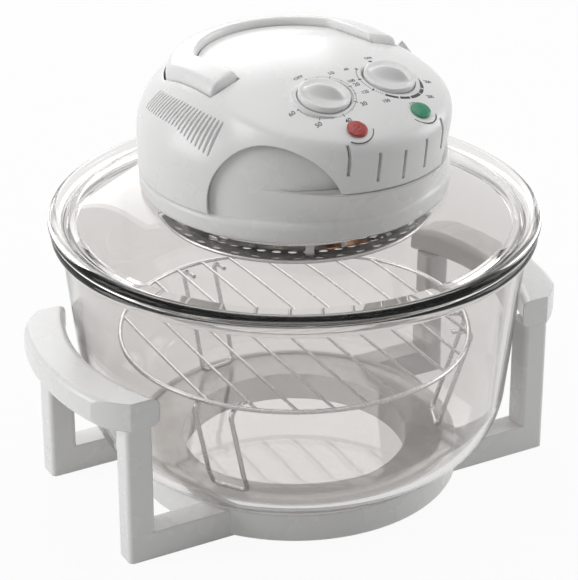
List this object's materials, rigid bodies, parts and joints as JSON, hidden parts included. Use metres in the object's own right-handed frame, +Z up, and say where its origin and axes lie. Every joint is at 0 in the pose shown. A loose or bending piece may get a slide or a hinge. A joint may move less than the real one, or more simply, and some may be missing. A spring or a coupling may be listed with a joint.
{
  "type": "halogen oven",
  "caption": "Tabletop halogen oven: glass bowl in a white stand with side grips, wire rack inside, lift-off glass lid carrying a fan and lamp head with dial knobs and a folding carry handle.",
  "frame": {"origin": "bottom centre of the stand, on the axis of the bowl", "axes": "+Z up along the bowl axis, -Y towards the control panel of the head, +X to the right of someone facing the panel; the stand and its grips are turned a little clockwise under the head, as pictured"},
  "size_m": [0.3702, 0.33, 0.3099],
  "materials": {
    "white_plastic": "gloss moulded",
    "smoked_glass": "clear, lightly smoked",
    "chrome_wire": "bright plated wire",
    "seal": "matte silicone",
    "plated_steel": "zinc plated",
    "reflector_steel": "bright rolled sheet",
    "dark_steel": "dark polished, perforated",
    "red_lens": "clear tinted",
    "green_lens": "clear tinted",
    "black_plastic": "moulded",
    "copper_coil": "enamelled copper wire",
    "probe_copper": "drawn copper",
    "bearing_brass": "sintered",
    "motor_iron": "lacquered laminations",
    "fan_plastic": "moulded",
    "quartz_tube": "clear quartz",
    "ceramic": "unglazed ceramic"
  },
  "bodies": {
    "stand": {"stand_frame": "white_plastic", "stand_grip_left": "white_plastic", "stand_grip_right": "white_plastic", "stand_screws": "plated_steel"},
    "bowl": {"glass_bowl": "smoked_glass"},
    "rack": {"rack_grid": "chrome_wire", "rack_leg_front": "chrome_wire", "rack_leg_right": "chrome_wire", "rack_leg_rear": "chrome_wire"},
    "lid": {"lid_glass": "smoked_glass", "lid_gasket": "seal", "lower_housing": "white_plastic", "upper_cover": "white_plastic", "cover_screws": "plated_steel", "handle_pins": "plated_steel", "safety_switch": "black_plastic", "timer_unit": "plated_steel", "timer_bell": "plated_steel", "thermostat_unit": "plated_steel", "thermostat_probe": "probe_copper", "probe_clips": "plated_steel", "power_lamp_lens": "red_lens", "heat_lamp_lens": "green_lens", "lamp_holders": "black_plastic", "motor_plate": "plated_steel", "motor_spacers": "plated_steel", "lower_bearing": "bearing_brass", "motor_stator": "motor_iron", "motor_coil": "copper_coil", "upper_bearing": "bearing_brass", "motor_screws": "plated_steel", "reflector_pan": "reflector_steel", "reflector_spacers": "plated_steel", "reflector_screws": "plated_steel", "halogen_tube": "quartz_tube", "tube_caps": "ceramic", "tube_clips": "plated_steel", "guard_dish": "dark_steel", "dish_straps": "dark_steel", "terminal_block": "ceramic", "cord_gland": "black_plastic"},
    "handle": {"carry_handle": "white_plastic"},
    "plunger": {"switch_plunger": "black_plastic"},
    "timer": {"timer_knob": "white_plastic", "timer_shaft": "plated_steel"},
    "thermostat": {"thermostat_knob": "white_plastic", "thermostat_shaft": "plated_steel"},
    "rotor": {"motor_rotor": "motor_iron", "motor_shaft": "plated_steel", "cooling_fan": "fan_plastic", "convection_fan": "reflector_steel", "fan_nut": "probe_copper"}
  },
  "joints": [
    {"name": "bowl_lift", "type": "slide", "parent": "stand", "child": "bowl", "axis": [0, 0, 1], "range_m": [0, 0.2]},
    {"name": "rack_lift", "type": "slide", "parent": "bowl", "child": "rack", "axis": [0, 0, 1], "range_m": [0, 0.07]},
    {"name": "lid_lift", "type": "slide", "parent": "bowl", "child": "lid", "axis": [0, 0, 1], "range_m": [0, 0.2]},
    {"name": "handle_hinge", "type": "hinge", "parent": "lid", "child": "handle", "pos_m": [0, -0.004, 0.29747], "axis": [1, 0, 0], "range_deg": [0, 95]},
    {"name": "plunger_slide", "type": "slide", "parent": "lid", "child": "plunger", "axis": [0, 0, 1], "range_m": [0, 0.003]},
    {"name": "timer_turn", "type": "hinge", "parent": "lid", "child": "timer", "pos_m": [-0.026, -0.066, 0.30046], "axis": [0, -0.26, 0.9656], "range_deg": [-300, 0]},
    {"name": "thermostat_turn", "type": "hinge", "parent": "lid", "child": "thermostat", "pos_m": [0.026, -0.066, 0.30046], "axis": [0, -0.26, 0.9656], "range_deg": [-280, 0]},
    {"name": "fan_spin", "type": "hinge", "parent": "lid", "child": "rotor", "pos_m": [0, 0, 0.2], "axis": [0, 0, 1], "continuous": true}
  ],
  "couplings": [
    {"joint": "plunger_slide", "follows": "handle_hinge", "m_per_rad": 0.0018}
  ]
}
